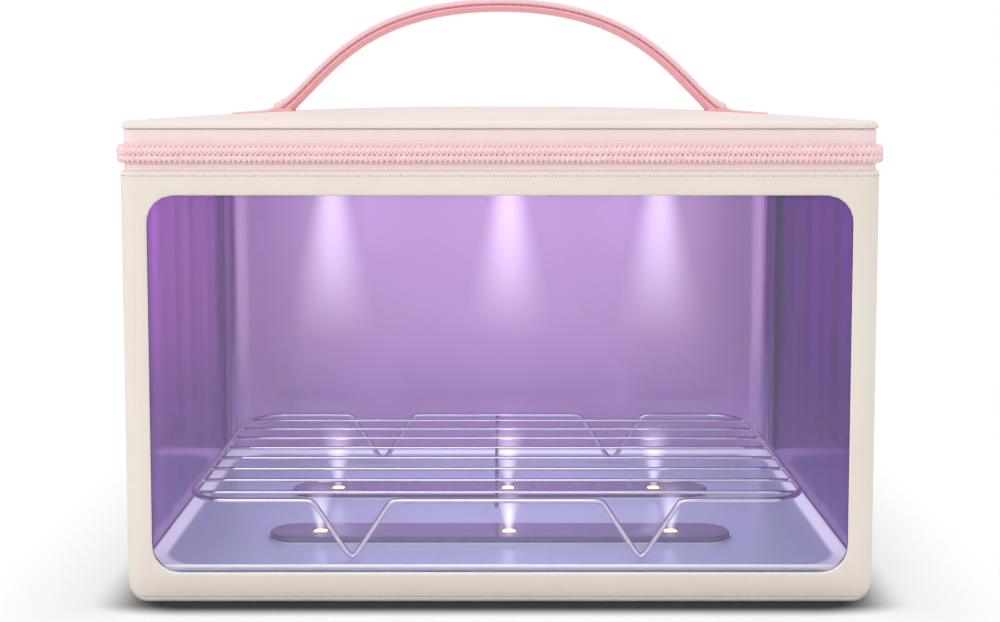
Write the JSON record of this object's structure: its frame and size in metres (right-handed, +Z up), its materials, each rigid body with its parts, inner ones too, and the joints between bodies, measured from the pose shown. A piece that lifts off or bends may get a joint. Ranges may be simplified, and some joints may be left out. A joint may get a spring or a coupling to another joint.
{
  "type": "pacifier sterilizer case",
  "caption": "Leather-covered zip-up sterilizing case with a clear front window, hinged lid with a webbing handle, ultraviolet light bars and a lift-out wire rack.",
  "frame": {"origin": "middle of the base panel's underside", "axes": "+X to the right as seen from the window side, +Y to the back, +Z up"},
  "size_m": [0.2793, 0.1978, 0.2215],
  "materials": {
    "leather_cream": "fine-grained cream synthetic leather",
    "leather_lid": "fine-grained pinkish cream synthetic leather",
    "clear_film": "clear flexible window film",
    "fibreboard": "pressed fibreboard",
    "foam": "soft white foam",
    "dark_foam": "dense dark foam",
    "liner_lavender": "glossy lavender lining foil on foam, mirror-like",
    "tray_lavender": "glossy lavender formed plastic",
    "led_bar": "dark glossy purple plastic",
    "circuit_white": "white solder mask",
    "led_chip": "pale yellow chips with clear windows",
    "zip_tape": "pink woven zipper tape",
    "zip_coil": "pink nylon coil",
    "zip_metal": "pink enamelled zinc",
    "webbing_pink": "coral pink rolled webbing with a stitched groove",
    "chrome_wire": "bright chromed steel wire",
    "pouch_foil": "silver pouch foil",
    "circuit_green": "green solder mask",
    "black_parts": "black moulded parts",
    "socket_steel": "bright stamped steel",
    "plate_white": "warm white moulded plastic",
    "lens_clear": "clear light guide",
    "screw_steel": "zinc-plated steel",
    "magnet_nickel": "nickel-plated magnet",
    "lead_dark": "dark flat cable"
  },
  "bodies": {
    "case": {"base_panel": "leather_cream", "base_board": "fibreboard", "base_foam": "dark_foam", "leather_wrap": "leather_cream", "backing_foam": "foam", "window_pane": "clear_film", "front_board": "fibreboard", "left_board": "fibreboard", "right_board": "fibreboard", "back_board": "fibreboard", "bay_board": "fibreboard", "wall_liner": "liner_lavender", "floor_tray": "tray_lavender", "front_led_bar": "led_bar", "rear_led_bar": "led_bar", "front_led_board": "circuit_white", "rear_led_board": "circuit_white", "front_leds": "led_chip", "rear_leds": "led_chip", "battery_pack": "pouch_foil", "driver_board": "circuit_green", "driver_parts": "black_parts", "tact_switch": "black_parts", "usb_socket": "socket_steel", "control_plate": "plate_white", "status_lens": "lens_clear", "board_screws": "screw_steel", "lid_sensor": "black_parts", "wiring_harness": "lead_dark", "lower_zip_tape": "zip_tape", "lower_zip_coil": "zip_coil", "hinge_lower": "zip_tape"},
    "lid": {"lid_top": "leather_lid", "lid_foam": "foam", "lid_board": "fibreboard", "lid_band": "fibreboard", "lid_liner": "liner_lavender", "upper_zip_tape": "zip_tape", "upper_zip_coil": "zip_coil", "hinge_upper": "zip_tape", "lid_led_bar": "led_bar", "lid_led_board": "circuit_white", "lid_leds": "led_chip", "lid_magnet": "magnet_nickel", "lid_lead": "lead_dark", "handle_feet": "webbing_pink"},
    "handle": {"handle_strap": "webbing_pink"},
    "rack": {"rack_frame": "chrome_wire", "rack_cross_wires": "chrome_wire", "rack_centre_wire": "chrome_wire"},
    "front_slider": {"front_slider": "zip_metal"},
    "rear_slider": {"rear_slider": "zip_metal"},
    "front_pull": {"front_pull": "zip_metal"},
    "rear_pull": {"rear_pull": "zip_metal"},
    "button": {"power_button": "plate_white"}
  },
  "joints": [
    {"name": "lid_hinge", "type": "hinge", "parent": "case", "child": "lid", "pos_m": [0, 0.0986, 0.161], "axis": [-1, 0, 0], "range_deg": [0, 110]},
    {"name": "handle_swing", "type": "hinge", "parent": "lid", "child": "handle", "pos_m": [0, 0, 0.18325], "axis": [1, 0, 0], "range_deg": [-60, 60], "stiffness_Nm_per_rad": 0.05},
    {"name": "rack_lift", "type": "slide", "parent": "case", "child": "rack", "axis": [0, 0, 1], "range_m": [0, 0.12]},
    {"name": "button_press", "type": "slide", "parent": "case", "child": "button", "axis": [0, -1, 0], "range_m": [0, 0.0008], "stiffness_N_per_m": 500},
    {"name": "front_slider_run", "type": "slide", "parent": "case", "child": "front_slider", "axis": [0, -1, 0], "range_m": [0, 0.085]},
    {"name": "rear_slider_run", "type": "slide", "parent": "case", "child": "rear_slider", "axis": [0, 1, 0], "range_m": [0, 0.065]},
    {"name": "front_pull_swing", "type": "hinge", "parent": "front_slider", "child": "front_pull", "pos_m": [0.1407, 0.0047, 0.161], "axis": [0, -1, 0], "range_deg": [0, 165]},
    {"name": "rear_pull_swing", "type": "hinge", "parent": "rear_slider", "child": "rear_pull", "pos_m": [0.1407, 0.0153, 0.161], "axis": [0, -1, 0], "range_deg": [0, 165]}
  ]
}
